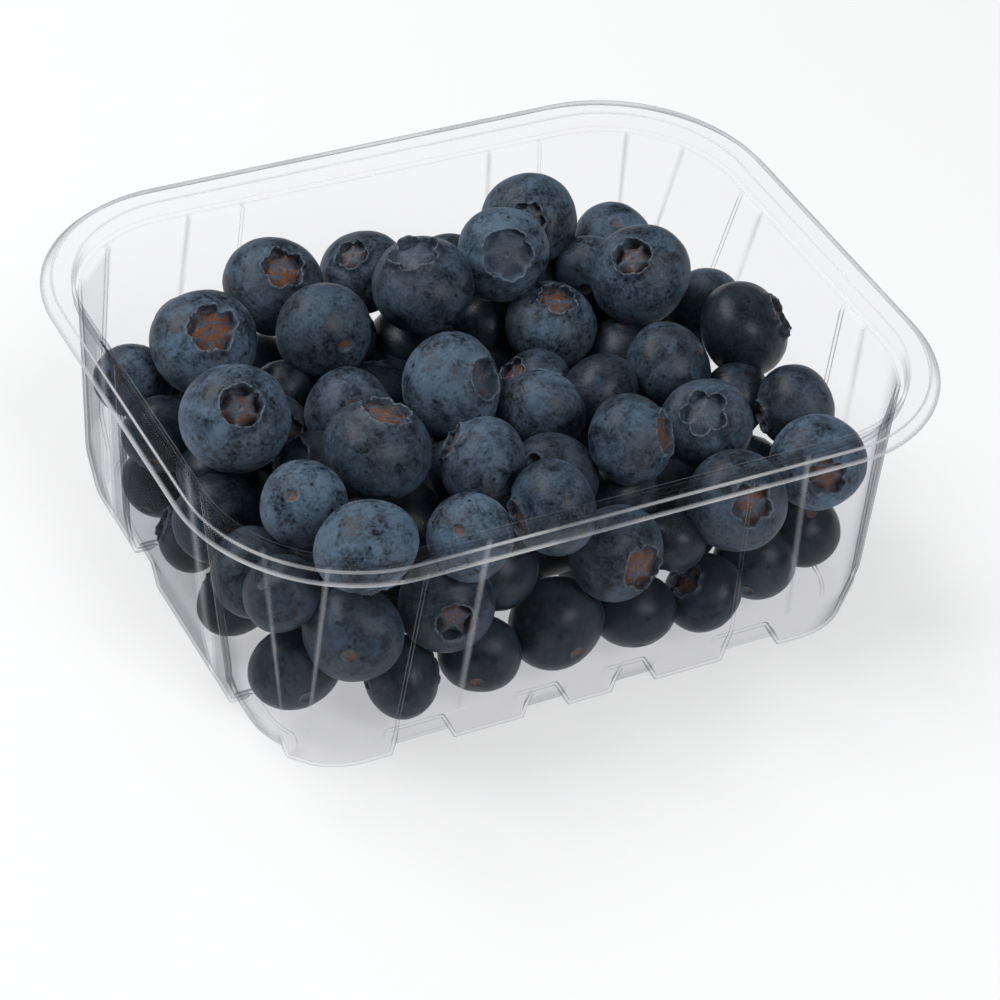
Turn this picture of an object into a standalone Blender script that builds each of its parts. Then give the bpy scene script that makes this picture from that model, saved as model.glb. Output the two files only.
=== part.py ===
"""Punnet of blueberries: a clear thermoformed tray and the heap of berries in it.

Units are metres, +Z is up. The origin is at the centre of the base, on the
surface that the tray stands on. +X runs along the tray's long side.
"""
import math

import bmesh
import bpy
import numpy as np
from mathutils import Vector

MM = 0.001

# ---- driving dimensions of the tray, in millimetres -------------------------
HEIGHT = 43.0           # floor it stands on to the flange's top face
RIM_A, RIM_B = 60.0, 47.7   # half length and half width at the flange's outer edge
RIM_R = 25.1            # corner radius there
FLANGE = 3.6            # width of the flat flange
LIP_OUT, LIP_DOWN = 1.2, 1.9    # how far the rolled lip flares out and drops
WALL = 0.5              # thickness of the sheet
LEDGE_DROP, LEDGE_IN = 3.4, 1.0     # stacking ledge below the flange
FLOOR_Z = 2.0           # underside of the floor panel, which the feet hold up
WAIST_Z = 7.5           # line where the wall turns down into the base band
FOOT_A, FOOT_B, FOOT_R = 50.6, 41.2, 13.6   # outline of the feet
WAIST_A, WAIST_B, WAIST_R = 52.0, 42.3, 14.6
FOOT_WIDTH = 3.4        # width of the foot ring's tread
FOOT_SLOPE = 0.9        # run of the foot ring's inner side

FLUTE_DEPTH = 0.9       # wall channels pressed inwards
RECESS_DEPTH = 0.8      # how far the base steps in between the feet
EDGE = 1.2              # run of a channel's slanting side
FRONT_FLUTE = (22.0, 32.0)      # from the middle of the long walls
SIDE_FLUTE = (13.5, 20.6)       # from the middle of the short walls
FRONT_RECESS = (3.5, 11.0)      # gap between feet on the long walls
SIDE_RECESS = (4.5, 12.4)       # gap between feet on one half of each short wall
GUSSET_LOW, GUSSET_TOP = 8.0, 15.0      # half angle of the flat corner panel
GUSSET_IN = 0.2         # how far that panel is pressed in, behind its own chord
ARC_STEPS = 4           # facets on each side of the corner panel
PANEL_STEPS = 3         # facets across it

# ---- berries ----------------------------------------------------------------
# Centre x, y, z and radius of each berry that shows, from the back to the front.
BERRIES = (
    (-20, 34, 30, 8.0), (-4, 35, 28, 7.0), (12, 35, 24, 6.5), (25, 34, 32, 7.6),
    (42, 34, 24, 6.4), (0, 22, 33, 8.0), (15, 24, 34, 7.4), (32, 24, 26, 6.2),
    (34, 13, 33, 8.0), (47, 12, 24, 6.5), (46, -1, 29, 7.8), (20, 15, 25, 7.4),
    (31, -3, 27, 7.2), (12, 5, 22, 6.4), (7, -6, 27, 7.0), (13, -22, 32, 7.0),
    (28, -20, 29, 7.1), (46, -18, 26, 6.8), (41, -32, 27, 7.4), (26, -34, 25, 7.8),
    (-5, -32, 32, 7.1), (-10, -19, 32, 6.9), (-5, 1, 30, 8.2), (-24, -12, 33, 8.0),
    (-20, 5, 26, 6.9), (-11, 14, 20, 6.4), (-18, 19, 31, 7.6), (-36, 24, 30, 8.2),
    (-40, 3, 32, 8.3), (-31, 9, 22, 6.4), (-38, -17, 31, 6.5), (-46, -4, 20, 6.8),
    (-36, -33, 35, 7.6), (-20, -35, 33, 6.4), (-37, -34, 19, 7.2), (-22, -34, 20, 7.3),
    (6, -34, 21, 7.4), (23, -24, 14, 6.4), (-43, -28, 10, 6.9), (-29, -35, 9, 6.4),
    (-16, -35, 9, 6.3), (-3, -34, 10, 7.4), (10, -35, 9, 6.3), (22, -35, 9, 6.3),
    (33, -31, 9, 6.4), (44, -27, 9, 6.2), (-46, 29, 22, 6.2), (-38, 31, 14, 6.3),
    (-46, 17, 20, 6.2), (-45, 19, 9, 6.2), (-45, 6, 9, 6.2), (-46, -17, 20, 6.8),
    (-45, -10, 9, 6.2),
)
FILL_SEED = 11          # order in which the berries below are tried
# Rounds of tries: how many, and the smallest and largest radius tried.
FILL_ROUNDS = ((20000, 6.3, 7.6), (40000, 5.5, 6.3))
FILL_TOP = 26.0         # highest centre of a berry that doesn't show
SQUEEZE = 0.86          # how close two centres may be, as a share of touching
HEAP_GAP = 0.35         # clearance between the heap and the sheet
VOXEL = 1.4             # grain of the heap's surface
HEAP_SMOOTH = 2
HEAP_FACES = 3600       # triangles left on the heap
CORE_IN = 8.0           # the core fills the heap this far in from the wall
CORE_Z = (7.0, 20.0)

PLASTIC = (0.93, 0.94, 0.96)
BERRY_BLUE = (0.035, 0.055, 0.11)


def clear_scene():
    for obj in list(bpy.data.objects):
        bpy.data.objects.remove(obj)


def material(name, colour, roughness, alpha=1.0):
    mat = bpy.data.materials.new(name)
    mat.use_nodes = True
    shader = mat.node_tree.nodes["Principled BSDF"]
    shader.inputs["Base Color"].default_value = (*colour, 1.0)
    shader.inputs["Roughness"].default_value = roughness
    shader.inputs["Metallic"].default_value = 0.0
    shader.inputs["Alpha"].default_value = alpha
    return mat


# ---- the tray's outline ------------------------------------------------------
def straight(half, dents):
    """Stations along a straight wall, from -half to half.

    Each dent is (start, end, flute, recess): a stretch pressed in by a share of
    the channel's depth and of the gap between feet. Returns (place, flute, recess).
    """
    stations = [(-half, 0.0, 0.0)]
    for start, end, flute, recess in sorted(dents):
        stations.append((start, 0.0, 0.0))
        stations.append((start + EDGE, flute, recess))
        stations.append((end - EDGE, flute, recess))
        stations.append((end, 0.0, 0.0))
    stations.append((half, 0.0, 0.0))
    return stations


def both_ways(span, flute, recess):
    low, high = span
    return [(low, high, flute, recess), (-high, -low, flute, recess)]


LONG_HALF, SHORT_HALF = 36.0, 24.4
FRONT = straight(LONG_HALF, both_ways(FRONT_FLUTE, 1, 1) + both_ways(FRONT_RECESS, 0, 1))
SIDE = straight(SHORT_HALF, both_ways(SIDE_FLUTE, 1, 0)
                + [(-SIDE_RECESS[1], -SIDE_RECESS[0], 0, 1)])


def corner(gusset, recessed):
    """Stations round a corner: (angle in degrees, share of the radius in, recess)."""
    side = 45.0 - gusset
    gap = 1.0 if recessed else 0.0
    first = [(side * i / ARC_STEPS, 0.0, gap) for i in range(1, ARC_STEPS)]
    panel = [(side, 0.0, 0.0)]
    for i in range(PANEL_STEPS + 1):
        turn = (gusset - 1.5) * (2.0 * i / PANEL_STEPS - 1.0)
        chord = 1.0 - math.cos(math.radians(gusset)) / math.cos(math.radians(turn))
        panel.append((45.0 + turn, chord, 0.0))
    panel.append((90.0 - side, 0.0, 0.0))
    last = [(90.0 - side * i / ARC_STEPS, 0.0, 0.0) for i in range(ARC_STEPS - 1, 0, -1)]
    return first + panel + last


def half_ring(a, b, r, gusset):
    """Half of a level's outline, from the front wall round to the back corner.

    Yields (x, y, normal x, normal y, flute, gusset press, recess).
    """
    for place, flute, recess in FRONT:
        yield place / LONG_HALF * (a - r), -b, 0.0, -1.0, flute, 0.0, recess
    for angle, press, recess in corner(gusset, False):
        t = math.radians(angle)
        nx, ny = math.sin(t), -math.cos(t)
        yield a - r + r * nx, -(b - r) + r * ny, nx, ny, 0.0, press, recess
    for place, flute, recess in SIDE:
        # the gap between the feet goes on from the last channel round the corner
        if place > SIDE_FLUTE[1] - EDGE / 2:
            recess = 1.0
        yield a, place / SHORT_HALF * (b - r), 1.0, 0.0, flute, 0.0, recess
    for angle, press, recess in corner(gusset, True):
        t = math.radians(angle)
        nx, ny = math.cos(t), math.sin(t)
        yield a - r + r * nx, b - r + r * ny, nx, ny, 0.0, press, recess


def ring(a, b, r, z, depth=0.0, foot=0.0, step=0.0, press=0.0):
    """A closed outline at one level.

    depth sinks the channels, step moves the gaps between the feet inwards, foot
    lifts them to the floor panel, and press flattens the corner panels.
    """
    share = min(max((z - WAIST_Z) / (HEIGHT - LEDGE_DROP - WAIST_Z), 0.0), 1.0)
    gusset = GUSSET_LOW + (GUSSET_TOP - GUSSET_LOW) * share
    half = []
    for x, y, nx, ny, flute, panel, recess in half_ring(a, b, r, gusset):
        inward = max(flute * depth, recess * step)
        if panel and press:
            inward += panel * r + press
        level = z + (FLOOR_Z - z) * recess * foot
        half.append((x - nx * inward, y - ny * inward, level))
    return half + [(-x, -y, level) for x, y, level in half]


def tray_levels():
    """The sheet's outer skin, from the floor panel up and over to the lip's edge."""
    under = HEIGHT - WALL
    ledge_z = HEIGHT - LEDGE_DROP
    inner = FLANGE
    tread = FOOT_WIDTH
    toe = tread + FOOT_SLOPE

    feet = {"foot": 1.0, "step": RECESS_DEPTH, "press": GUSSET_IN}
    wall = {"depth": FLUTE_DEPTH, "press": GUSSET_IN}

    def rim(inset, z, **extra):
        return ring(RIM_A - inset, RIM_B - inset, RIM_R - inset, z, **extra)

    return [
        ring(FOOT_A - toe, FOOT_B - toe, FOOT_R - toe, FLOOR_Z),
        ring(FOOT_A - tread, FOOT_B - tread, FOOT_R - tread, 0.0, foot=1.0),
        ring(FOOT_A - 0.5, FOOT_B - 0.5, FOOT_R - 0.5, 0.0, **feet),
        ring(FOOT_A, FOOT_B, FOOT_R, 0.5, **feet),
        ring(WAIST_A, WAIST_B, WAIST_R, WAIST_Z, **wall),
        rim(inner + LEDGE_IN, ledge_z - 0.4, **wall),
        rim(inner + LEDGE_IN, ledge_z),
        rim(inner + 0.1, ledge_z + 0.4),
        rim(inner, under),
        rim(WALL, under),
        rim(WALL - 0.6 * LIP_OUT, under - 0.4),
        rim(WALL - LIP_OUT, under - LIP_DOWN + WALL),
    ]


def build_tray():
    bm = bmesh.new()
    rings = []
    for level in tray_levels():
        rings.append([bm.verts.new(Vector(p) * MM) for p in level])
    count = len(rings[0])
    for low, high in zip(rings, rings[1:]):
        for i in range(count):
            j = (i + 1) % count
            bm.faces.new((low[i], low[j], high[j], high[i]))
    bm.faces.new(rings[0][::-1])
    bmesh.ops.remove_doubles(bm, verts=bm.verts, dist=1e-6)
    mesh = bpy.data.meshes.new("tray")
    bm.to_mesh(mesh)
    bm.free()
    obj = bpy.data.objects.new("tray", mesh)
    bpy.context.collection.objects.link(obj)
    sheet = obj.modifiers.new("sheet", "SOLIDIFY")
    sheet.thickness = WALL * MM
    sheet.offset = -1.0
    sheet.use_even_offset = True
    mesh.materials.append(material("clear plastic", PLASTIC, 0.08, alpha=0.35))
    return obj


# ---- the heap ----------------------------------------------------------------
def inner_size(z):
    """Half sizes and corner radius of the space inside the channels at a level."""
    inset = FLANGE + LEDGE_IN
    levels = (FLOOR_Z, WAIST_Z, HEIGHT - LEDGE_DROP - 0.4)
    cut = WALL + FLUTE_DEPTH + HEAP_GAP
    sizes = ((FOOT_A, WAIST_A, RIM_A - inset), (FOOT_B, WAIST_B, RIM_B - inset),
             (FOOT_R, WAIST_R, RIM_R - inset))
    return [float(np.interp(z, levels, size)) - cut for size in sizes]


def hold_in(x, y, z, radius=0.0):
    """Moves a point to where a ball of that radius lies inside the tray."""
    a, b, r = inner_size(z)
    ax, ay = abs(x), abs(y)
    over_x, over_y = ax - (a - r), ay - (b - r)
    if over_x > 0 and over_y > 0:
        far = math.hypot(over_x, over_y)
        reach = max(r - radius, 0.01)
        if far > reach:
            ax = a - r + over_x / far * reach
            ay = b - r + over_y / far * reach
    ax, ay = min(ax, a - radius), min(ay, b - radius)
    return math.copysign(ax, x), math.copysign(ay, y)


def all_berries():
    """The berries that show, and those that fill the space below them."""
    placed = np.array(BERRIES, dtype=float)
    rng = np.random.default_rng(FILL_SEED)
    a, b, _ = inner_size(WAIST_Z)
    for tries, smallest, largest in FILL_ROUNDS:
        for _ in range(tries):
            radius = rng.uniform(smallest, largest)
            x, y = rng.uniform(-a, a), rng.uniform(-b, b)
            z = rng.uniform(FLOOR_Z + WALL + HEAP_GAP + radius, FILL_TOP)
            x, y = hold_in(x, y, z, radius)
            apart = np.linalg.norm(placed[:, :3] - (x, y, z), axis=1)
            if np.all(apart > SQUEEZE * (radius + placed[:, 3])):
                placed = np.vstack([placed, (x, y, z, radius)])
    return placed.tolist()


def build_heap():
    """One body out to the berries' uneven outline, with no hollow inside."""
    bm = bmesh.new()
    for x, y, z, radius in all_berries():
        made = bmesh.ops.create_icosphere(bm, subdivisions=2, radius=radius * MM)
        bmesh.ops.translate(bm, verts=made["verts"], vec=Vector((x, y, z)) * MM)
    a, b, _ = inner_size(WAIST_Z)
    low, high = CORE_Z
    core = bmesh.ops.create_cube(bm, size=1.0)["verts"]
    bmesh.ops.scale(bm, verts=core, vec=Vector(
        (2 * (a - CORE_IN), 2 * (b - CORE_IN), high - low)) * MM)
    bmesh.ops.translate(bm, verts=core, vec=Vector((0, 0, (low + high) / 2)) * MM)
    mesh = bpy.data.meshes.new("balls")
    bm.to_mesh(mesh)
    bm.free()
    balls = bpy.data.objects.new("balls", mesh)
    bpy.context.collection.objects.link(balls)
    skin = balls.modifiers.new("skin", "REMESH")
    skin.mode = "VOXEL"
    skin.voxel_size = VOXEL * MM
    graph = bpy.context.evaluated_depsgraph_get()
    fused = bpy.data.meshes.new_from_object(balls.evaluated_get(graph))
    bpy.data.objects.remove(balls)

    bm = bmesh.new()
    bm.from_mesh(fused)
    keep_largest(bm)
    for _ in range(HEAP_SMOOTH):
        bmesh.ops.smooth_vert(bm, verts=bm.verts, factor=0.5,
                              use_axis_x=True, use_axis_y=True, use_axis_z=True)
    floor = FLOOR_Z + WALL + HEAP_GAP
    for v in bm.verts:
        x, y, z = (c / MM for c in v.co)
        z = max(z, floor)
        x, y = hold_in(x, y, z)
        v.co = Vector((x, y, z)) * MM
    bm.to_mesh(fused)
    bm.free()
    heap = bpy.data.objects.new("berry_heap", fused)
    heap.data.name = "berry_heap"
    bpy.context.collection.objects.link(heap)
    thin = heap.modifiers.new("thin", "DECIMATE")
    triangles = sum(len(p.vertices) - 2 for p in fused.polygons)
    thin.ratio = min(1.0, HEAP_FACES / triangles)
    fused.materials.clear()
    fused.materials.append(material("berry skin", BERRY_BLUE, 0.55))
    fused.shade_smooth()
    return heap


def keep_largest(bm):
    """Leaves only the island with the most vertices, the heap's outer skin."""
    islands, seen = [], set()
    for start in bm.verts:
        if start in seen:
            continue
        island, queue = [], [start]
        seen.add(start)
        while queue:
            v = queue.pop()
            island.append(v)
            for edge in v.link_edges:
                other = edge.other_vert(v)
                if other not in seen:
                    seen.add(other)
                    queue.append(other)
        islands.append(island)
    islands.sort(key=len)
    for island in islands[:-1]:
        bmesh.ops.delete(bm, geom=island, context="VERTS")


def main():
    clear_scene()
    build_tray()
    build_heap()


main()
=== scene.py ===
"""A punnet of blueberries: a clear thermoformed tray and the berries that fill it.

Run as a script it builds every piece in order. The sizes and colours sit in
property groups, and each piece has its own operator in the sidebar's panel.
"""
import math

import bmesh
import bpy
import numpy as np
from mathutils import Matrix, Vector, noise


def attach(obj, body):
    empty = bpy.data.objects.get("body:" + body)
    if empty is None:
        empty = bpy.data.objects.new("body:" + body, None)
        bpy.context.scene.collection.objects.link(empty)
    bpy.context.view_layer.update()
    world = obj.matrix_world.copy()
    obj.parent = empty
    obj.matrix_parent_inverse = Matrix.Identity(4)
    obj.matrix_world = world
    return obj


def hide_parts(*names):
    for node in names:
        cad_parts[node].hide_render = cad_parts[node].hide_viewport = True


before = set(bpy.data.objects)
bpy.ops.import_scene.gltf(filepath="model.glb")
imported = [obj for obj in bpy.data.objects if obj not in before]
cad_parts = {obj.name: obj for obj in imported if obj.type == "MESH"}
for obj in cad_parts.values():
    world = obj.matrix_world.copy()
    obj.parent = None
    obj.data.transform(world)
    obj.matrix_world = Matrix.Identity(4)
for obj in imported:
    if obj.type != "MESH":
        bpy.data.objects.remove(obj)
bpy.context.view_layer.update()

bl_info = {
    "name": "Blueberry Punnet",
    "version": (1, 0, 0),
    "blender": (4, 5, 0),
    "location": "3D View > Sidebar > Punnet",
    "description": "Builds a clear tray filled with blueberries",
    "category": "Add Mesh",
}

MM = 0.001

# ---- the tray, in millimetres --------------------------------------------------
HEIGHT = 43.0
RIM_A, RIM_B, RIM_R = 60.0, 47.7, 25.1      # flange's outer edge: half sizes, corner radius
FLANGE = 3.6
WALL = 0.5
LIP_OUT, LIP_DOWN = 1.2, 1.9
LIP_HIGHLIGHT_BAND = 0.7          # height of the painted highlight band along the lip
LEDGE_DROP, LEDGE_IN = 3.4, 1.0
WAIST_Z, WAIST_A, WAIST_B, WAIST_R = 7.5, 52.0, 42.3, 14.6
FOOT_A, FOOT_B, FOOT_R = 50.6, 41.2, 13.6
FOOT_WIDTH, FOOT_SLOPE, FLOOR_Z = 3.4, 0.9, 2.0
FLUTE_DEPTH, RECESS_DEPTH = 0.9, 0.8
LONG_HALF, SHORT_HALF = 36.0, 24.4
FRONT_FLUTES = ((22.0, 32.0), (-32.0, -22.0))
FRONT_GAPS = ((3.5, 11.0), (22.0, 32.0), (-11.0, -3.5), (-32.0, -22.0))
SIDE_FLUTES = ((13.5, 20.6), (-20.6, -13.5))
SIDE_GAPS = ((-12.4, -4.5), (19.4, 60.0))
GUSSET_LOW, GUSSET_TOP, GUSSET_IN = 8.0, 15.0, 0.2
SIDE_GAP_END, SIDE_GAP_RUN = 38.0, 4.0  # degrees round the corner where a side gap ends
SLANT = 0.8             # run of a flute's or gap's slanting side
BESIDE = 0.35           # how far beside a slanting side's edges the next station is
STATION = 1.6           # spacing of the stations along a wall
WALL_HIGHLIGHT = 0.36        # strength of the painted highlight on the walls' upright creases
CREASE_STEPS = (0.0, 0.25, 0.5, 0.75, 1.0)
MOST_ROUNDED = 0.45     # share of a wall's height that one rounded crease may take
EDGE_ROUND, EDGE_ANGLE = 0.12, 75.0     # rounding of the sheet's cut edge
GLOSS_POWER, GLOSS_MOST, GLOSS_LEAST = 18.0, 0.90, 0.002
SHADOW_TINT = (0.97, 0.97, 0.975, 1.0)

# ---- the berries ---------------------------------------------------------------
# Each crown: share of the berry's radius that it is wide, depth, how far its five
# lobes reach, how ragged its edge is, how rusty its floor is.
CROWNS = {
    "star": (0.38, 0.17, 0.34, 0.16, 0.80),
    "disc": (0.52, 0.13, 0.16, 0.10, 0.10),
    "bowl": (0.38, 0.28, 0.10, 0.12, 0.50),
    "flower": (0.44, 0.17, 0.42, 0.08, 0.08),
    "ring": (0.44, 0.16, 0.20, 0.16, 0.95),
    "small": (0.34, 0.15, 0.26, 0.16, 0.45),
}
SHADE_HEIGHTS = (13.0, 30.0)    # heights over which lower berries' painted shade fades, by thinning their coat
SHADED_COAT = 0.25       # share of the coat left on the lowest berries, a painted shade
COAT, SQUASH = (0.45, 1.0), (0.95, 1.06)        # from berry to berry
SWELLS = ((0.06, 0.9), (0.008, 4.0))    # size and frequency of a berry's unevenness
SCAR_RUST, RUST_SPREAD = (0.4, 1.0), 0.15
RUBBED = (10,)          # berries of SHOWN that are rubbed nearly bare
RUBBED_DUST = 0.2       # share of the coat that they keep
DEEP_DUST = 0.45        # share of the coat given to the filling berries, which makes them darker
UPPER_FROM = 26.0       # height from which a berry counts as one of the upper ones
SHOWN_ROWS, DEEP_ROWS, DEEP_AROUND = 22, 12, 30     # facets of a berry
UPPER_SEED, LOWER_SEED, DEEP_SEED, LOOK_SEED = 3, 4, 6, 5
# x, y, z and radius in millimetres, then the crown's kind and where it looks:
# heading and height in degrees. A berry with None has it turned out of sight, and
# "stem" gives the way its stem end looks.
SHOWN = (
    (-20, 34, 30, 8.0, "star", -90, 62), (-4, 35, 28, 7.0, "small", -160, 60),
    (12, 35, 24, 6.5, None, 0, 0), (25, 34, 32, 7.6, "small", -125, 35),
    (42, 34, 24, 6.4, None, 0, 0), (0, 22, 33, 8.0, "flower", 160, 75),
    (15, 24, 34, 7.4, "disc", -110, 35), (32, 24, 26, 6.2, "stem", -130, 5),
    (34, 13, 33, 8.0, "bowl", -150, 55), (47, 12, 24, 6.5, None, 0, 0),
    (46, -1, 29, 7.8, "star", -26, 33), (20, 15, 25, 7.4, "star", -90, 80),
    (31, -3, 27, 7.2, None, 0, 0), (12, 5, 22, 6.4, "star", 170, 40),
    (7, -6, 27, 7.0, None, 0, 0), (13, -22, 32, 7.0, "ring", -41, 27),
    (28, -20, 29, 7.1, "flower", -140, 55), (46, -18, 26, 6.8, "small", 172, -9),
    (41, -32, 27, 7.4, "star", -110, 20), (26, -34, 25, 7.8, "star", -100, 35),
    (-5, -32, 32, 7.1, "ring", 178, -11), (-10, -19, 32, 6.9, "star", 145, 28),
    (-5, 1, 30, 8.2, "bowl", -55, 35), (-24, -12, 33, 8.0, "ring", 21, 77),
    (-20, 5, 26, 6.9, None, 0, 0), (-11, 14, 20, 6.4, None, 0, 0),
    (-18, 19, 31, 7.6, "stem", -85, 15), (-36, 24, 30, 8.2, "ring", -95, 55),
    (-40, 3, 32, 8.3, "bowl", -105, 55), (-31, 9, 22, 6.4, "star", -80, 40),
    (-38, -17, 31, 6.5, None, 0, 0), (-46, -4, 20, 6.8, None, 0, 0),
    (-36, -33, 35, 7.6, None, 0, 0), (-20, -35, 33, 6.4, None, 0, 0),
    (-37, -34, 19, 7.2, "stem", -120, 10), (-22, -34, 20, 7.3, "bowl", -105, 15),
    (6, -34, 21, 7.4, "ring", -80, 15), (23, -24, 14, 6.4, None, 0, 0),
    (-43, -28, 10, 6.9, None, 0, 0), (-29, -35, 9, 6.4, None, 0, 0),
    (-16, -35, 9, 6.3, "stem", -120, -10), (-3, -34, 10, 7.4, None, 0, 0),
    (10, -35, 9, 6.3, None, 0, 0), (22, -35, 9, 6.3, "star", 180, 45),
    (33, -31, 9, 6.4, None, 0, 0), (44, -27, 9, 6.2, None, 0, 0),
    (-46, 29, 22, 6.2, None, 0, 0), (-38, 31, 14, 6.3, None, 0, 0),
    (-46, 17, 20, 6.2, None, 0, 0), (-45, 19, 9, 6.2, None, 0, 0),
    (-45, 6, 9, 6.2, "star", 160, 20), (-46, -17, 20, 6.8, None, 0, 0),
    (-45, -10, 9, 6.2, None, 0, 0),
)
FILL_SEED, FILL_TOP = 11, 26.0
SQUEEZE = 0.86          # how near two berries may come, as a share of touching
FILL_ROUNDS = ((20000, 6.3, 7.6), (40000, 5.5, 6.3))    # tries, least and largest radius
HEAP_GAP = 0.35
SWELL_ROOM, MOST_SHIFT = 0.4, 0.7   # keeps an uneven berry off the sheet
CORE_IN, CORE_Z, CORE_ROUND = 14.0, (10.5, 20.5), 4.0
CAMERA_SIDE = Vector((-0.403, -0.657, 0.638))   # the way a hidden crown must not look

# ---- the stage -----------------------------------------------------------------
FLOOR_BELOW = 0.03      # in millimetres; keeps the floor's face off the feet's faces
SKY_FROM, SKY_TO = 0.1, 0.8     # heights of a direction between which the sky brightens
# Name, place and side length in metres, power in watts.
SOFTBOXES = (
    ("left softbox", (-0.50, 0.30, 0.72), 0.40, 3.6),
    ("right softbox", (0.20, -0.66, 0.60), 0.35, 2.9),
    ("back softbox", (-0.20, 0.58, 0.64), 0.30, 1.6),
)
LIGHTS_AIM = (0.0, 0.0, 0.03)
CAMERA_TURN = (-31.5, 39.615, 6.854)    # heading, height and roll in degrees
CAMERA_AIM, CAMERA_FAR = (-18.57, -38.95, 43.0), 0.4931     # millimetres, metres


# ---- settings ------------------------------------------------------------------
class TraySettings(bpy.types.PropertyGroup):
    """Sizes and finish of the clear tray."""
    thickness: bpy.props.FloatProperty(
        name="Sheet", description="Thickness of the plastic sheet",
        default=WALL * MM, min=0.0001, unit="LENGTH")
    crease: bpy.props.FloatProperty(
        name="Crease radius", description="Rounding of the tray's horizontal creases",
        default=0.7 * MM, min=0.0, unit="LENGTH")
    tint: bpy.props.FloatVectorProperty(
        name="Tint", description="Colour of light that passes straight through",
        default=(0.965, 0.965, 0.972), size=3, subtype="COLOR", min=0.0, max=1.0)
    # Edge tint: partly the longer path at a slant, partly a painted dark outline.
    edge_tint: bpy.props.FloatVectorProperty(
        name="Edge tint", description="Colour of light that passes along the sheet",
        default=(0.55, 0.56, 0.58), size=3, subtype="COLOR", min=0.0, max=1.0)
    # Pale grey painted along the creases and lip as highlight lines.
    painted_highlight: bpy.props.FloatVectorProperty(
        name="Glint", description="Colour of the thin lines along creases and lip",
        default=(0.66, 0.67, 0.69), size=3, subtype="COLOR", min=0.0, max=1.0)
    roughness: bpy.props.FloatProperty(
        name="Roughness", description="Blur of the sheet's reflections",
        default=0.05, min=0.0, max=1.0)


class BerrySettings(bpy.types.PropertyGroup):
    """Shape and colours of the berries."""
    around: bpy.props.IntProperty(
        name="Steps around", description="Facets round a berry that shows",
        default=60, min=12)
    polar: bpy.props.FloatProperty(
        name="Flattening", description="Height of a berry over its width",
        default=0.85, min=0.5, max=1.0)
    bloom: bpy.props.FloatVectorProperty(
        name="Bloom", description="Powdery coat on the skin",
        default=(0.097, 0.151, 0.217), size=3, subtype="COLOR", min=0.0, max=1.0)
    skin: bpy.props.FloatVectorProperty(
        name="Skin", description="Bare skin where the coat is rubbed off",
        default=(0.0040, 0.0065, 0.0110), size=3, subtype="COLOR", min=0.0, max=1.0)
    rust: bpy.props.FloatVectorProperty(
        name="Rust", description="Dry brown floor of a crown",
        default=(0.180, 0.062, 0.020), size=3, subtype="COLOR", min=0.0, max=1.0)


class StageSettings(bpy.types.PropertyGroup):
    """Floor, light and camera."""
    floor: bpy.props.FloatVectorProperty(
        name="Floor", description="Colour of the floor",
        default=(0.52, 0.52, 0.525), size=3, subtype="COLOR", min=0.0, max=1.0)
    glow: bpy.props.FloatProperty(
        name="Glow", description="Light the floor gives off, as a light table does",
        default=0.52, min=0.0)
    sky: bpy.props.FloatProperty(
        name="Overhead", description="Strength of the light from straight above",
        default=0.28, min=0.0)
    horizon: bpy.props.FloatProperty(
        name="Horizon", description="Strength of the light from low all around",
        default=0.04, min=0.0)
    lens: bpy.props.FloatProperty(
        name="Lens", description="Camera's focal length in millimetres",
        default=126.9, min=10.0)


# ---- shader helpers ------------------------------------------------------------
class Shader:
    """A material under construction, with short calls for its nodes."""

    def __init__(self, name):
        self.mat = bpy.data.materials.new(name)
        self.mat.use_nodes = True
        self.tree = self.mat.node_tree
        self.tree.nodes.clear()
        self.out = self.add("ShaderNodeOutputMaterial")

    def add(self, kind, **values):
        """A new node; each value sets its property or its input of that name."""
        node = self.tree.nodes.new(kind)
        for key, value in values.items():
            if hasattr(node, key):
                setattr(node, key, value)
            else:
                node.inputs[key.replace("_", " ")].default_value = value
        return node

    def link(self, source, target):
        self.tree.links.new(source, target)

    def object_coords(self):
        return self.add("ShaderNodeTexCoord").outputs["Object"]

    def noise(self, coords, scale, detail=3.0, rough=0.5, distortion=0.0):
        node = self.add("ShaderNodeTexNoise", Scale=scale, Detail=detail,
                        Roughness=rough, Distortion=distortion)
        self.link(coords, node.inputs["Vector"])
        return node.outputs["Fac"]

    def ramp(self, value, low, high, start=0.0, end=1.0):
        """Softly from start to end while the value goes from low to high."""
        node = self.add("ShaderNodeMapRange", clamp=True)
        node.interpolation_type = "SMOOTHSTEP"
        self.link(value, node.inputs["Value"])
        node.inputs["From Min"].default_value = low
        node.inputs["From Max"].default_value = high
        node.inputs["To Min"].default_value = start
        node.inputs["To Max"].default_value = end
        return node.outputs["Result"]

    def math(self, how, a, b):
        node = self.add("ShaderNodeMath", operation=how)
        for socket, value in zip(node.inputs, (a, b)):
            if isinstance(value, (int, float)):
                socket.default_value = value
            else:
                self.link(value, socket)
        return node.outputs[0]

    def mix(self, share, a, b):
        """Colour a where the share is 0 and colour b where it is 1."""
        node = self.add("ShaderNodeMix", data_type="RGBA", blend_type="MIX")
        for socket, value in zip((node.inputs[0], node.inputs[6], node.inputs[7]),
                                 (share, a, b)):
            if isinstance(value, (int, float)):
                socket.default_value = value
            elif isinstance(value, tuple):
                socket.default_value = (*value[:3], 1.0)
            else:
                self.link(value, socket)
        return node.outputs[2]

    def attribute(self, name):
        return self.add("ShaderNodeAttribute", attribute_name=name).outputs["Fac"]


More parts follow.
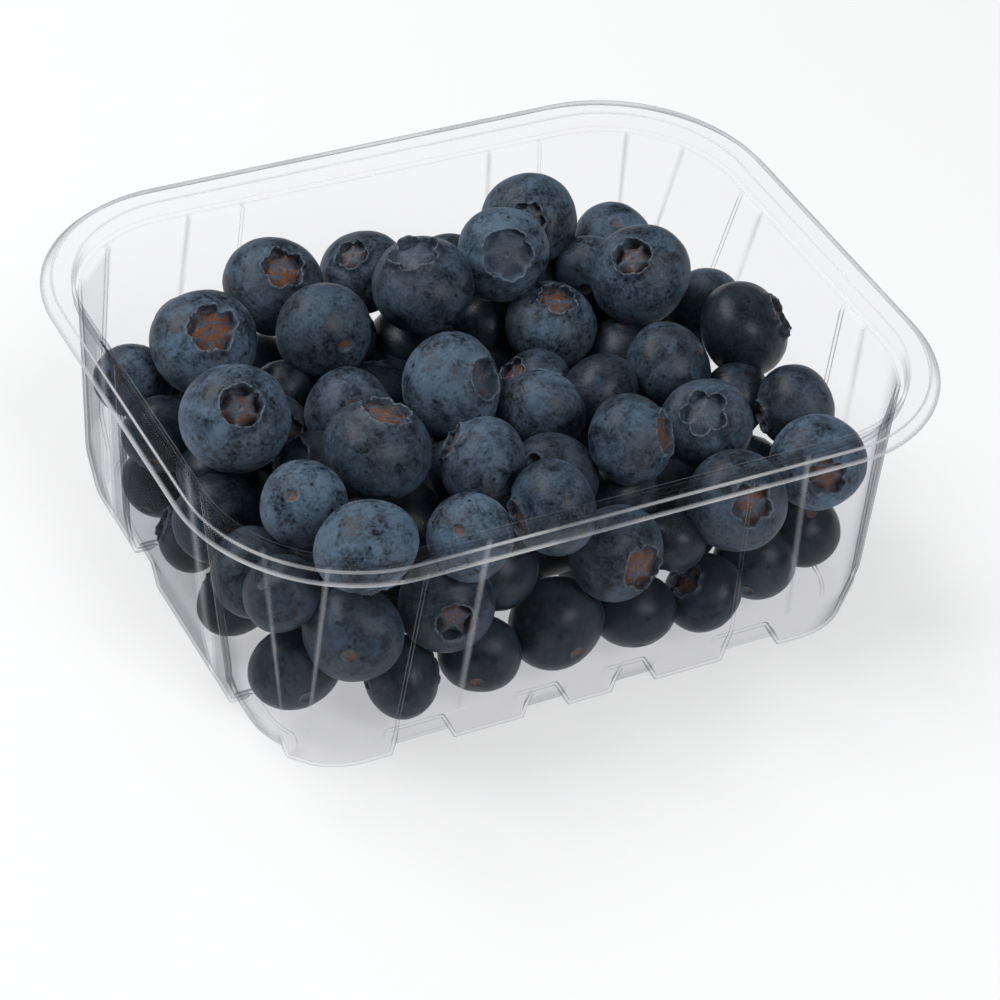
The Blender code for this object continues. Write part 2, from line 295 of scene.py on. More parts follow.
def clear_plastic(settings):
    """Thin clear sheet: light goes through, gloss grows towards the edges.

    The sheet's creases and lip carry thin pale lines, a painted highlight.
    """
    s = Shader("clear plastic")
    coords = s.object_coords()
    bump = s.add("ShaderNodeBump", Strength=0.05, Distance=0.001)
    s.link(s.noise(coords, 38.0, 1.0), bump.inputs["Height"])
    weight = s.add("ShaderNodeLayerWeight", Blend=0.5)
    s.link(bump.outputs["Normal"], weight.inputs["Normal"])
    slant = weight.outputs["Facing"]

    # Darker at a slant: partly the longer path through it, partly a painted dark outline.
    clear = s.add("ShaderNodeBsdfTransparent")
    s.link(s.mix(s.ramp(slant, 0.55, 1.0), tuple(settings.tint), tuple(settings.edge_tint)),
           clear.inputs["Color"])
    # The gloss greys where the sheet is seen edge-on: a painted dark outline.
    gloss = s.add("ShaderNodeBsdfGlossy", Roughness=settings.roughness)
    s.link(s.mix(s.ramp(slant, 0.85, 1.0), (1.0, 1.0, 1.0), tuple(settings.edge_tint)),
           gloss.inputs["Color"])
    s.link(bump.outputs["Normal"], gloss.inputs["Normal"])
    shine = s.math("MULTIPLY", s.math("POWER", slant, GLOSS_POWER), GLOSS_MOST)
    both = s.add("ShaderNodeMixShader")
    s.link(s.math("ADD", shine, GLOSS_LEAST), both.inputs[0])
    s.link(clear.outputs["BSDF"], both.inputs[1])
    s.link(gloss.outputs["BSDF"], both.inputs[2])

    # Painted highlight: pale grey diffuse mixed in where the line layer and a noise say.
    painted_highlight = s.add("ShaderNodeBsdfDiffuse", Color=(*settings.painted_highlight, 1.0))
    share = s.math("MULTIPLY", s.attribute("line"),
                   s.ramp(s.noise(coords, 55.0, 2.0), 0.3, 0.6, 0.3, 0.75))
    with_highlight = s.add("ShaderNodeMixShader")
    s.link(share, with_highlight.inputs[0])
    s.link(both.outputs["Shader"], with_highlight.inputs[1])
    s.link(painted_highlight.outputs["BSDF"], with_highlight.inputs[2])

    passing = s.add("ShaderNodeBsdfTransparent")
    passing.inputs["Color"].default_value = SHADOW_TINT
    lit = s.add("ShaderNodeMixShader")
    s.link(s.add("ShaderNodeLightPath").outputs["Is Shadow Ray"], lit.inputs[0])
    s.link(with_highlight.outputs["Shader"], lit.inputs[1])
    s.link(passing.outputs["BSDF"], lit.inputs[2])
    s.link(lit.outputs["Shader"], s.out.inputs["Surface"])
    return s.mat


def berry_skin(settings):
    """Dark skin under a rubbed powdery coat, with a dry rusty crown."""
    s = Shader("blueberry skin")
    coords = s.object_coords()
    clouds = s.noise(coords, 200.0, 3.0, 0.55, 0.5)
    smears = s.noise(coords, 700.0, 5.0, 0.6, 1.2)
    mottle = s.noise(coords, 2100.0, 4.0, 0.65, 0.4)
    coat_and_shade = s.attribute("coat_and_shade")
    # How much of the coat covers a place: clouds, smears, fine mottle, rubbed specks;
    # less on lower berries, a painted shade.
    cover = s.math("ADD", s.ramp(clouds, 0.34, 0.66, 0.28, 0.92),
                   s.ramp(smears, 0.3, 0.7, -0.28, 0.28))
    cover = s.math("ADD", cover, s.ramp(mottle, 0.3, 0.7, -0.22, 0.22))
    cover = s.math("MULTIPLY", cover, s.ramp(coat_and_shade, 0.0, 1.0, 0.1, 1.15))
    spots = s.add("ShaderNodeTexVoronoi", Scale=460.0, Randomness=1.0)
    s.link(coords, spots.inputs["Vector"])
    rubbed = s.ramp(spots.outputs["Distance"], 0.08, 0.20, 0.15, 1.0)
    cover = s.math("MULTIPLY", cover, rubbed)
    colour = s.mix(cover, tuple(settings.skin), tuple(settings.bloom))
    # Parts of the coat are warmer.
    warm = s.ramp(s.noise(coords, 160.0, 2.0), 0.45, 0.7, 0.0, 0.45)
    colour = s.mix(warm, colour, s.mix(0.5, colour, (0.060, 0.056, 0.062)))

    # The crown's floor and the stem scar: coated, rusty or dark in patches.
    floor = s.attribute("floor")
    patches = s.ramp(s.noise(coords, 900.0, 4.0, 0.65), 0.42, 0.56)
    patches = s.math("MULTIPLY", patches, s.ramp(s.attribute("rust"), 0.0, 1.0))
    dry = s.mix(patches, s.mix(clouds, (0.045, 0.070, 0.100), (0.085, 0.120, 0.170)),
                tuple(settings.rust))
    dry = s.mix(s.ramp(s.noise(coords, 3600.0, 3.0), 0.45, 0.7, 0.0, 0.55), dry,
                (0.030, 0.022, 0.018))
    colour = s.mix(floor, colour, dry)
    # The crown's torn edge is pale: partly the dry edge's own colour, partly a painted
    # highlight.
    rim = s.math("MULTIPLY", s.attribute("rim"),
                 s.ramp(s.noise(coords, 1500.0, 3.0), 0.40, 0.60))
    colour = s.mix(rim, colour, (0.17, 0.20, 0.24))

    bump = s.add("ShaderNodeBump", Strength=0.35, Distance=0.00025)
    s.link(s.mix(0.35, smears, mottle), bump.inputs["Height"])
    skin = s.add("ShaderNodeBsdfPrincipled")
    skin.inputs["IOR"].default_value = 1.42
    skin.inputs["Specular IOR Level"].default_value = 0.32
    s.link(s.ramp(cover, 0.0, 1.0, 0.0, 0.12), skin.inputs["Sheen Weight"])
    skin.inputs["Sheen Roughness"].default_value = 0.35
    skin.inputs["Sheen Tint"].default_value = (0.6, 0.75, 1.0, 1.0)
    s.link(colour, skin.inputs["Base Color"])
    s.link(s.ramp(cover, 0.0, 0.8, 0.34, 0.58), skin.inputs["Roughness"])
    s.link(bump.outputs["Normal"], skin.inputs["Normal"])
    s.link(skin.outputs["BSDF"], s.out.inputs["Surface"])
    return s.mat


def floor_paint(settings):
    """Matt near-white floor with the faintest unevenness."""
    s = Shader("pale floor")
    coords = s.object_coords()
    paint = s.add("ShaderNodeBsdfPrincipled", Roughness=0.85)
    paint.inputs["Emission Color"].default_value = (1.0, 1.0, 1.0, 1.0)
    paint.inputs["Emission Strength"].default_value = settings.glow
    base = tuple(settings.floor)
    shade = tuple(c * 0.985 for c in base)
    s.link(s.mix(s.noise(coords, 6.0), base, shade), paint.inputs["Base Color"])
    s.link(paint.outputs["BSDF"], s.out.inputs["Surface"])
    return s.mat


# ---- mesh helpers --------------------------------------------------------------
def as_object(bm, name, mat, smooth=True):
    """Turns a bmesh into a linked object at the origin."""
    mesh = bpy.data.meshes.new(name)
    bm.to_mesh(mesh)
    bm.free()
    mesh.materials.append(mat)
    obj = bpy.data.objects.new(name, mesh)
    bpy.context.collection.objects.link(obj)
    if smooth:
        mesh.shade_smooth()
    return obj


def stand_for(obj, node):
    """Makes an object a piece of the part, in place of a node of the CAD."""
    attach(obj, "root")
    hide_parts(node)


# ---- the tray ------------------------------------------------------------------
def dent(place, spans):
    """How far into a dent a place on the wall is, from 0 to 1, with slanting sides."""
    deepest = 0.0
    for start, end in spans:
        rise = min((place - start) / SLANT, (end - place) / SLANT)
        deepest = max(deepest, min(rise, 1.0))
    return deepest


def stations(half, spans):
    """Places along a straight wall: evenly spaced, and closer where a dent slants."""
    count = round(2 * half / STATION)
    places = set()
    for span in spans:
        for edge, way in zip(span, (1, -1)):
            places.update(round(edge + way * step, 3)
                          for step in (-BESIDE, 0.0, SLANT / 2, SLANT, SLANT + BESIDE))
    for i in range(count + 1):
        place = -half + 2 * half * i / count
        if all(abs(place - other) > BESIDE for other in places):
            places.add(place)
    return sorted(p for p in places if -half <= p <= half)


FRONT = stations(LONG_HALF, FRONT_FLUTES + FRONT_GAPS)
SIDE = stations(SHORT_HALF, SIDE_FLUTES + SIDE_GAPS)
ARC = [i / 9 for i in range(1, 10)]
PANEL = (0.04, 0.1, 0.2, 0.35, 0.5, 0.65, 0.8, 0.9, 0.96, 1.0)
PANEL_EDGES = (0.04, 0.96)


def corner_angles(gusset):
    """Angles round a corner in degrees, each with how far the flat panel lies inward
    there, as a share of the radius, and the strength of the painted highlight there."""
    side = 45.0 - gusset
    turns = [(side * t, 0.0, 0.0) for t in ARC]
    for t in PANEL:
        turn = gusset * (2.0 * t - 1.0)
        flat = 1.0 - math.cos(math.radians(gusset)) / math.cos(math.radians(turn))
        turns.append((45.0 + turn, flat, float(t in PANEL_EDGES)))
    turns += [(90.0 - side + side * t, 0.0, 0.0) for t in ARC[:-1]]
    return turns


def level_outline(level):
    """The closed outline of one level of the sheet: places in millimetres, each with
    the strength of its painted highlight.

    A level is (half length, half width, corner radius, height, depth of the flutes,
    how far a gap lifts it to the floor panel, depth of the gaps, how far the corners'
    panels are pressed in).
    """
    a, b, r, z, channel, foot, step, press = level
    share = min(max((z - WAIST_Z) / (HEIGHT - LEDGE_DROP - WAIST_Z), 0.0), 1.0)
    turns = corner_angles(GUSSET_LOW + (GUSSET_TOP - GUSSET_LOW) * share)
    half = []

    def put(x, y, nx, ny, flute, gap, panel, line):
        inward = max(flute * channel, gap * step) + press * r * panel
        if panel > 1e-9:
            inward += press * GUSSET_IN
        half.append((x - nx * inward, y - ny * inward, z + (FLOOR_Z - z) * gap * foot,
                     line))

    for place in FRONT:
        flute = dent(place, FRONT_FLUTES)
        put(place / LONG_HALF * (a - r), -b, 0.0, -1.0,
            flute, dent(place, FRONT_GAPS), 0.0, flute_highlight(flute))
    for angle, panel, edge in turns:
        nx, ny = math.sin(math.radians(angle)), -math.cos(math.radians(angle))
        put(a - r + r * nx, r - b + r * ny, nx, ny, 0.0, 0.0, panel, edge)
    for place in SIDE:
        flute = dent(place, SIDE_FLUTES)
        put(a, place / SHORT_HALF * (b - r), 1.0, 0.0,
            flute, dent(place, SIDE_GAPS), 0.0, flute_highlight(flute))
    for angle, panel, edge in turns:
        nx, ny = math.cos(math.radians(angle)), math.sin(math.radians(angle))
        gap = min(max((SIDE_GAP_END - angle) / SIDE_GAP_RUN, 0.0), 1.0)
        put(a - r + r * nx, b - r + r * ny, nx, ny, 0.0, gap, panel, edge)
    return half + [(-x, -y, height, line) for x, y, height, line in half]


def flute_highlight(flute):
    """Strength of the painted highlight on a flute's slanting side, from 0 to 1."""
    return 4.0 * flute * (1.0 - flute)


def tray_levels(crease):
    """The sheet's levels from the floor panel to the lip, with rounded creases.

    Each is paired with the strength of its painted highlight, from 0 to 1.
    """
    under = HEIGHT - WALL
    ledge = HEIGHT - LEDGE_DROP
    toe = FOOT_WIDTH + FOOT_SLOPE

    def foot(inset, z, cut, step):
        # The corners' panels are pressed in there as far as the gaps are.
        return (FOOT_A - inset, FOOT_B - inset, FOOT_R - inset, z, 0.0, cut, step, step)

    def rim(inset, z, channel=0.0, press=0.0):
        return (RIM_A - inset, RIM_B - inset, RIM_R - inset, z, channel, 0.0, 0.0, press)

    inner = FLANGE + LEDGE_IN
    # Each crease: its level, its rounding as a share of the crease radius, its painted
    # highlight.
    corners = [
        (foot(toe, FLOOR_Z, 0.0, 0.0), 0.0, 0.0),
        (foot(FOOT_WIDTH, 0.0, 1.0, 0.0), 1.1, 0.0),
        (foot(0.2, 0.0, 1.0, RECESS_DEPTH), 1.1, 0.0),
        ((WAIST_A, WAIST_B, WAIST_R, WAIST_Z, FLUTE_DEPTH, 0.0, 0.0, 1.0), 1.2, 0.0),
        (rim(inner, ledge - 0.6, FLUTE_DEPTH, 1.0), 0.8, 0.0),
        (rim(inner, ledge), 0.4, 0.15),
        (rim(FLANGE + 0.15, ledge + 0.3), 0.75, 0.15),
        (rim(FLANGE, under), 0.6, 0.35),
        (rim(WALL + 0.2, under), 0.6, 1.0),
        (rim(WALL - LIP_OUT, under - LIP_DOWN + WALL), 0.0, 1.0),
    ]
    points = [np.array(corner[0]) for corner in corners]
    rounded = [(points[0], 0.0)]
    for i in range(1, len(points) - 1):
        before, here, after = points[i - 1], points[i], points[i + 1]
        _, rounding, highlight_share = corners[i]
        reach = rounding * crease
        start = here + (before - here) * min(MOST_ROUNDED, reach / span(before, here))
        end = here + (after - here) * min(MOST_ROUNDED, reach / span(after, here))
        for t in CREASE_STEPS:
            point = (1 - t) ** 2 * start + 2 * t * (1 - t) * here + t * t * end
            rounded.append((point, highlight_share if t == 0.5 else 0.0))
    # The lip's edge gets the full painted highlight, fading out over a narrow band below
    # it.
    lip, last = points[-1], rounded[-1][0]
    rounded += [(lip + (last - lip) * LIP_HIGHLIGHT_BAND / span(last, lip), 0.0), (lip, 1.0)]
    return rounded


def span(first, second):
    """Length of the wall between two levels, in millimetres."""
    return max(math.hypot(first[0] - second[0], first[3] - second[3]), 0.01)


def build_tray(settings):
    """The sheet, drawn up level by level from the outline of its floor."""
    levels = tray_levels(settings.crease / MM)
    bm = bmesh.new()
    # The line layer holds the strength of the painted highlight at each place.
    lines = bm.verts.layers.float.new("line")
    ring = [bm.verts.new(Vector(p[:3]) * MM) for p in level_outline(levels[0][0])]
    bm.faces.new(ring[::-1])
    edges = list(bm.edges)
    for level, highlight_share in levels[1:]:
        grown = bmesh.ops.extrude_edge_only(bm, edges=edges)["geom"]
        fresh = {g for g in grown if isinstance(g, bmesh.types.BMVert)}
        edges = [g for g in grown if isinstance(g, bmesh.types.BMEdge)
                 and g.verts[0] in fresh and g.verts[1] in fresh]
        ring = [next(e.other_vert(v) for e in v.link_edges if e.other_vert(v) in fresh)
                for v in ring]
        # Painted highlight on creases and lip; upright creases only between waist and
        # ledge.
        on_wall = WALL_HIGHLIGHT if WAIST_Z < level[3] < HEIGHT - LEDGE_DROP else 0.0
        for v, (*point, line) in zip(ring, level_outline(level)):
            v.co = Vector(point) * MM
            v[lines] = max(highlight_share, line * on_wall)
    bmesh.ops.recalc_face_normals(bm, faces=bm.faces)
    bm.faces.ensure_lookup_table()
    if bm.faces[0].normal.z > 0:
        bmesh.ops.reverse_faces(bm, faces=bm.faces)
    tray = as_object(bm, "clear_tray", clear_plastic(settings))
    sheet = tray.modifiers.new("sheet", "SOLIDIFY")
    sheet.thickness = settings.thickness
    sheet.offset = -1.0
    sheet.use_even_offset = True
    edge = tray.modifiers.new("lip edge", "BEVEL")
    edge.width = EDGE_ROUND * MM
    edge.segments = 2
    edge.limit_method = "ANGLE"
    edge.angle_limit = math.radians(EDGE_ANGLE)
    stand_for(tray, "tray")


# ---- the berries ---------------------------------------------------------------
def inner_size(z):
    """Half sizes and corner radius of the room for berries at a level."""
    inset = FLANGE + LEDGE_IN
    levels = (FLOOR_Z, WAIST_Z, HEIGHT - LEDGE_DROP - 0.4)
    cut = WALL + FLUTE_DEPTH + HEAP_GAP
    sizes = ((FOOT_A, WAIST_A, RIM_A - inset), (FOOT_B, WAIST_B, RIM_B - inset),
             (FOOT_R, WAIST_R, RIM_R - inset))
    return [float(np.interp(z, levels, size)) - cut for size in sizes]


def hold_in(x, y, z, radius):
    """Moves a berry's centre to where the berry lies inside the tray."""
    a, b, r = inner_size(z)
    ax, ay = abs(x), abs(y)
    over_x, over_y = ax - (a - r), ay - (b - r)
    if over_x > 0 and over_y > 0:
        far = math.hypot(over_x, over_y)
        reach = max(r - radius, 0.01)
        if far > reach:
            ax = a - r + over_x / far * reach
            ay = b - r + over_y / far * reach
    ax, ay = min(ax, a - radius), min(ay, b - radius)
    return math.copysign(ax, x), math.copysign(ay, y)


def settle(x, y, z, radius):
    """Shifts a berry a little inwards, so that its swellings stay inside the tray."""
    inner = hold_in(x, y, z, radius + SWELL_ROOM)
    return [old + min(max(new - old, -MOST_SHIFT), MOST_SHIFT)
            for old, new in zip((x, y), inner)]


def filling():
    """The berries that fill the space under those that show."""
    placed = np.array([berry[:4] for berry in SHOWN], dtype=float)
    rng = np.random.default_rng(FILL_SEED)
    a, b, _ = inner_size(WAIST_Z)
    for tries, smallest, largest in FILL_ROUNDS:
        for _ in range(tries):
            radius = rng.uniform(smallest, largest)
            x, y = rng.uniform(-a, a), rng.uniform(-b, b)
            z = rng.uniform(FLOOR_Z + WALL + HEAP_GAP + radius, FILL_TOP)
            x, y = hold_in(x, y, z, radius)
            apart = np.linalg.norm(placed[:, :3] - (x, y, z), axis=1)
            if np.all(apart > SQUEEZE * (radius + placed[:, 3])):
                placed = np.vstack([placed, (x, y, z, radius)])
    return placed[len(SHOWN):].tolist()


def berry_profile(crown, polar, rows):
    """Half section of a berry of radius 1, from its crown's centre to its stem end.

    Each point is (radius, height, pull of the lobes, crown floor, rim, crevice).
    """
    wide, depth = crown[:2]
    lip = 0.035
    edge = polar * math.sqrt(1.0 - wide * wide)
    top = edge + lip
    floor = top - depth
    middle = floor + 0.45 * depth
    points = [
        (0.0, middle - 0.03, 0.0, 1.0, 0.0, 0.0),
        (0.035, middle - 0.02, 0.0, 1.0, 0.5, 0.0),
        (0.06, middle + 0.012, 0.0, 1.0, 0.4, 0.0),
        (0.09, middle, 0.0, 1.0, 0.0, 0.0),
        (0.40 * wide, middle, 0.2, 1.0, 0.0, 0.0),
        (0.62 * wide, middle - 0.01, 0.6, 1.0, 0.0, 0.3),
        (0.78 * wide, floor + 0.1 * depth, 0.85, 0.9, 0.0, 1.0),
        (0.90 * wide, floor, 0.95, 0.6, 0.0, 1.0),
        (0.965 * wide, floor + 0.35 * depth, 1.0, 0.2, 0.0, 0.6),
        (0.99 * wide, floor + 0.80 * depth, 1.0, 0.0, 0.3, 0.0),
        (1.015 * wide, top, 1.0, 0.0, 1.0, 0.0),
        (1.05 * wide, top, 0.95, 0.0, 0.7, 0.0),
        (1.11 * wide, top - 0.024, 0.8, 0.0, 0.1, 0.0),
    ]
    for share, pull in ((1.22, 0.55), (1.35, 0.3), (1.5, 0.12)):
        r = share * wide
        points.append((r, polar * math.sqrt(max(1.0 - r * r, 0.0)) - 0.012, pull,
                       0.0, 0.0, 0.0))
    first = math.asin(min(1.6 * wide, 0.95))
    last = math.pi - 0.20
    for i in range(rows + 1):
        phi = first + (last - first) * i / rows
        points.append((math.sin(phi), polar * math.cos(phi), 0.0, 0.0, 0.0, 0.0))
    low = -polar
    points += [
        (0.165, low + 0.008, 0.0, 0.0, 0.1, 0.0),
        (0.145, low + 0.012, 0.0, 0.1, 0.4, 0.0),
        (0.120, low + 0.045, 0.0, 0.8, 0.1, 0.0),
        (0.05, low + 0.055, 0.0, 1.0, 0.0, 0.0),
        (0.0, low + 0.05, 0.0, 1.0, 0.0, 0.0),
    ]
    return points


def add_berry(bm, place, radius, crown_name, look, rng, settings, rows, around, dust):
    """One berry: its half section spun about its axis, then lobed, dented and turned."""
    layers = berry_layers(bm)
    coat_and_shade_layer, floor_layer, rim_layer, rust_layer, pull_layer, crevice_layer = layers
    crown = CROWNS[crown_name if crown_name in CROWNS else "small"]
    wide, depth, lobes, ragged, rust = crown
    polar = settings.polar * rng.uniform(*SQUASH)
    coat_and_shade = rng.uniform(*COAT) * dust
    # Painted shade: lower berries keep less coat, so they are darker towards the bottom.
    coat_and_shade *= float(np.interp(place[2], SHADE_HEIGHTS, (SHADED_COAT, 1.0)))
    rust = min(1.0, max(0.0, rust + rng.uniform(-RUST_SPREAD, RUST_SPREAD)))
    stem_rust = rng.uniform(*SCAR_RUST)
    section = []
    for r, z, pull, floor, rim, crevice in berry_profile(crown, polar, rows):
        v = bm.verts.new((r, 0.0, z))
        v[coat_and_shade_layer], v[floor_layer], v[rim_layer] = coat_and_shade, floor, rim
        v[rust_layer] = rust if z > 0 else stem_rust
        v[pull_layer], v[crevice_layer] = pull, crevice
        section.append(v)
    edges = [bm.edges.new(pair) for pair in zip(section, section[1:])]
    bmesh.ops.spin(bm, geom=section + edges, cent=(0, 0, 0), axis=(0, 0, 1),
                   dvec=(0, 0, 0), angle=2 * math.pi, steps=around, use_merge=True)
    bmesh.ops.remove_doubles(bm, verts=bm.verts, dist=1e-4)

    phase = rng.uniform(0, 2 * math.pi)
    seed = Vector(rng.uniform(-50, 50, 3))
    for v in bm.verts:
        x, y, z = v.co
        theta = math.atan2(y, x) + phase
        pull = v[pull_layer]
        if pull and z > 0:
            # Five lobes with ragged edges; between them the wall folds to the floor.
            petal = abs(math.cos(2.5 * theta)) ** 0.7 - 0.6
            tear = noise.noise(Vector((math.cos(theta) * 4, math.sin(theta) * 4, 0)) + seed)
            grow = 1.0 + pull * (lobes * petal + ragged * tear)
            lift = (0.02 * petal + 0.18 * ragged * tear) * v[rim_layer]
            fold = min(max(0.15 - 1.4 * petal, -0.7), 0.4)
            lift += fold * depth * v[crevice_layer]
            v.co = Vector((x * grow, y * grow, z + lift))
        swell = 1.0
        for amount, frequency in SWELLS:
            swell += amount * noise.noise(v.co * frequency + seed)
        v.co *= swell
    aim = Vector(look).normalized()
    turn = aim.to_track_quat("Z", "Y").to_matrix().to_4x4()
    spin = Matrix.Rotation(rng.uniform(0, 2 * math.pi), 4, "Z")
    size = Matrix.Diagonal((radius * MM, radius * MM, radius * MM, 1.0))
    move = Matrix.Translation(Vector(place) * MM)
    bmesh.ops.transform(bm, matrix=move @ turn @ spin @ size, verts=bm.verts)


def direction(heading, height):
    """The way that a heading and a height in degrees point."""
    h, e = math.radians(heading), math.radians(height)
    return Vector((math.cos(h) * math.cos(e), math.sin(h) * math.cos(e), math.sin(e)))


def away(rng):
    """Some way for a crown to look that keeps it out of sight."""
    look = Vector(rng.normal(size=3)).normalized()
    if look.dot(CAMERA_SIDE) > -0.1:
        look = look - 2.2 * max(look.dot(CAMERA_SIDE), 0.2) * CAMERA_SIDE
    return look.normalized()


def berry_layers(bm):
    """New layers for what the skin and the shaping read, in add_berry's order."""
    return [bm.verts.layers.float.new(name)
            for name in ("coat_and_shade", "floor", "rim", "rust", "pull", "crevice")]


def build_berries(name, berries, settings, skin, rows, around, seed):
    """One piece of many berries, each different."""
    rng = np.random.default_rng(seed)
    bm = bmesh.new()
    berry_layers(bm)
    for x, y, z, radius, crown, heading, height, dust in berries:
        x, y = settle(x, y, z, radius)
        look = direction(heading, height) if crown else away(rng)
        if crown == "stem":
            look = -look
        one = bmesh.new()
        add_berry(one, (x, y, z), radius, crown, look, rng, settings, rows, around, dust)
        mesh = bpy.data.meshes.new("berry")
        one.to_mesh(mesh)
        one.free()
        bm.from_mesh(mesh)
        bpy.data.meshes.remove(mesh)
    bmesh.ops.recalc_face_normals(bm, faces=bm.faces)
    obj = as_object(bm, name, skin)
    for spent in ("pull", "crevice"):
        obj.data.attributes.remove(obj.data.attributes[spent])
    stand_for(obj, "berry_heap")


def build_core(skin):
    """A dark lump deep in the heap that stops light passing between the berries:
    a stand-in that shows as shade in the gaps.
    """
    a, b, _ = inner_size(WAIST_Z)
    low, high = CORE_Z
    bm = bmesh.new()
    bmesh.ops.create_cube(bm, size=1.0)
    bmesh.ops.scale(bm, verts=bm.verts, vec=Vector(
        (2 * (a - CORE_IN), 2 * (b - CORE_IN), high - low)) * MM)
    bmesh.ops.translate(bm, verts=bm.verts, vec=Vector((0, 0, (low + high) / 2)) * MM)
    bmesh.ops.bevel(bm, geom=list(bm.edges), offset=CORE_ROUND * MM, offset_type="OFFSET",
                    affect="EDGES", segments=4, profile=0.5, material=-1)
    obj = as_object(bm, "heap_core", skin)
    stand_for(obj, "berry_heap")


# ---- the stage -----------------------------------------------------------------
def softbox(name, place, size, power):
    """A square soft light that looks at the part."""
    data = bpy.data.lights.new(name, "AREA")
    data.shape = "RECTANGLE"
    data.size = data.size_y = size
    data.energy = power
    light = bpy.data.objects.new(name, data)
    light.location = place
    aim = Vector(LIGHTS_AIM) - Vector(place)
    light.rotation_euler = aim.to_track_quat("-Z", "Y").to_euler()
    bpy.context.collection.objects.link(light)


def build_camera(settings):
    """The camera, turned about its line of sight and aimed at the near edge."""
    data = bpy.data.cameras.new("camera")
    data.lens = settings.lens
    data.sensor_width = 36.0
    data.clip_start = 0.01
    camera = bpy.data.objects.new("camera", data)
    az, el, roll = (math.radians(angle) for angle in CAMERA_TURN)
    target = Vector(CAMERA_AIM) * MM
    back = Vector((math.sin(az) * math.cos(el), -math.cos(az) * math.cos(el), math.sin(el)))
    right = Vector((0, 0, 1)).cross(back).normalized()
    up = back.cross(right)
    axis_x = math.cos(roll) * right + math.sin(roll) * up
    axis_y = math.cos(roll) * up - math.sin(roll) * right
    turn = Matrix((axis_x, axis_y, back)).transposed().to_4x4()
    camera.matrix_world = Matrix.Translation(target + back * CAMERA_FAR) @ turn
    bpy.context.collection.objects.link(camera)
    bpy.context.scene.camera = camera


def build_stage(settings):
    """The floor, the sky that brightens upwards, the softboxes and the camera."""
    bm = bmesh.new()
    bmesh.ops.create_grid(bm, x_segments=1, y_segments=1, size=3.0)
    bmesh.ops.translate(bm, verts=bm.verts, vec=(0.0, 0.0, -FLOOR_BELOW * MM))
    floor = as_object(bm, "floor", floor_paint(settings), smooth=False)

    world = bpy.data.worlds.new("studio")
    bpy.context.scene.world = world
    world.use_nodes = True
    nodes, links = world.node_tree.nodes, world.node_tree.links
    look = nodes.new("ShaderNodeTexCoord")
    parts = nodes.new("ShaderNodeSeparateXYZ")
    links.new(look.outputs["Generated"], parts.inputs[0])
    height = nodes.new("ShaderNodeMapRange")
    links.new(parts.outputs["Z"], height.inputs["Value"])
    height.inputs["From Min"].default_value = SKY_FROM
    height.inputs["From Max"].default_value = SKY_TO
    height.inputs["To Min"].default_value = settings.horizon
    height.inputs["To Max"].default_value = settings.sky
    sky = nodes["Background"]
    sky.inputs["Color"].default_value = (0.95, 0.98, 1.0, 1.0)
    links.new(height.outputs["Result"], sky.inputs["Strength"])

    for name, place, size, power in SOFTBOXES:
        softbox(name, place, size, power)
    build_camera(settings)
    bpy.context.scene.view_settings.view_transform = "Standard"


# ---- operators -----------------------------------------------------------------
class PUNNET_OT_tray(bpy.types.Operator):
    """Build the clear tray"""
    bl_idname = "punnet.tray"
    bl_label = "Clear Tray"

    def execute(self, context):
        build_tray(context.scene.punnet_tray)
        return {"FINISHED"}


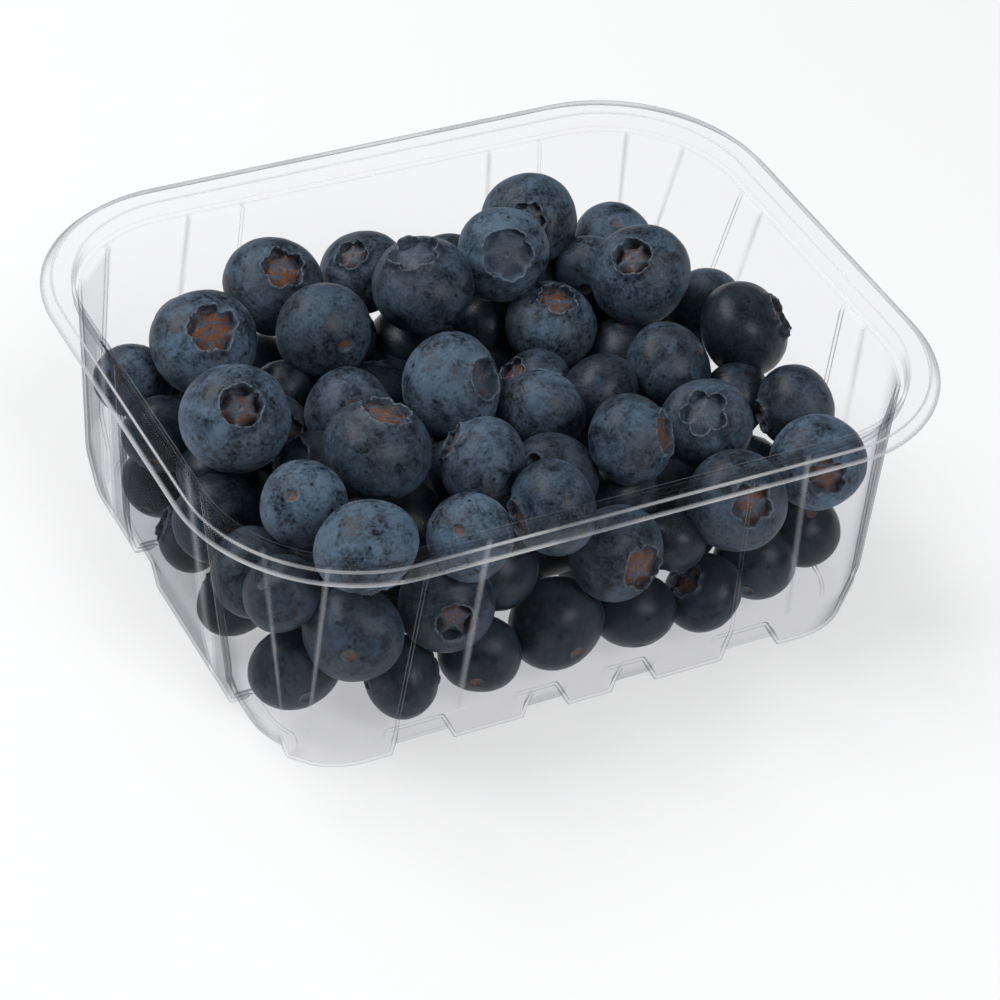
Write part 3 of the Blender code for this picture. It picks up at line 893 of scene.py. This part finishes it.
class PUNNET_OT_berries(bpy.types.Operator):
    """Build the berries and the core under them"""
    bl_idname = "punnet.berries"
    bl_label = "Berries"

    def execute(self, context):
        settings = context.scene.punnet_berries
        skin = berry_skin(settings)
        shown = [(*berry, RUBBED_DUST if i in RUBBED else 1.0)
                 for i, berry in enumerate(SHOWN)]
        upper = [b for b in shown if b[2] >= UPPER_FROM]
        lower = [b for b in shown if b[2] < UPPER_FROM]
        rng = np.random.default_rng(LOOK_SEED)
        kinds = list(CROWNS)
        deep = [(*b, kinds[rng.integers(len(kinds))], rng.uniform(-180, 180),
                 rng.uniform(-90, 90), DEEP_DUST) for b in filling()]
        around = settings.around
        for name, berries, rows, steps, seed in (
                ("upper_berries", upper, SHOWN_ROWS, around, UPPER_SEED),
                ("lower_berries", lower, SHOWN_ROWS, around, LOWER_SEED),
                ("deep_berries", deep, DEEP_ROWS, DEEP_AROUND, DEEP_SEED)):
            build_berries(name, berries, settings, skin, rows, steps, seed)
        build_core(skin)
        return {"FINISHED"}


class PUNNET_OT_stage(bpy.types.Operator):
    """Build the floor, the lights and the camera"""
    bl_idname = "punnet.stage"
    bl_label = "Stage"

    def execute(self, context):
        build_stage(context.scene.punnet_stage)
        return {"FINISHED"}


class PUNNET_PT_panel(bpy.types.Panel):
    """The punnet's settings and its operators"""
    bl_label = "Punnet"
    bl_space_type = "VIEW_3D"
    bl_region_type = "UI"
    bl_category = "Punnet"

    def draw(self, context):
        for settings, operator in (("punnet_tray", "punnet.tray"),
                                   ("punnet_berries", "punnet.berries"),
                                   ("punnet_stage", "punnet.stage")):
            box = self.layout.box()
            group = getattr(context.scene, settings)
            for name in group.bl_rna.properties.keys():
                if name not in {"rna_type", "name"}:
                    box.prop(group, name)
            box.operator(operator)


CLASSES = (TraySettings, BerrySettings, StageSettings, PUNNET_OT_tray,
           PUNNET_OT_berries, PUNNET_OT_stage, PUNNET_PT_panel)


def register():
    for cls in CLASSES:
        bpy.utils.register_class(cls)
    bpy.types.Scene.punnet_tray = bpy.props.PointerProperty(type=TraySettings)
    bpy.types.Scene.punnet_berries = bpy.props.PointerProperty(type=BerrySettings)
    bpy.types.Scene.punnet_stage = bpy.props.PointerProperty(type=StageSettings)


def unregister():
    del bpy.types.Scene.punnet_tray
    del bpy.types.Scene.punnet_berries
    del bpy.types.Scene.punnet_stage
    for cls in reversed(CLASSES):
        bpy.utils.unregister_class(cls)


def main():
    register()
    bpy.ops.punnet.stage()
    bpy.ops.punnet.tray()
    bpy.ops.punnet.berries()


if __name__ == "__main__":
    main()
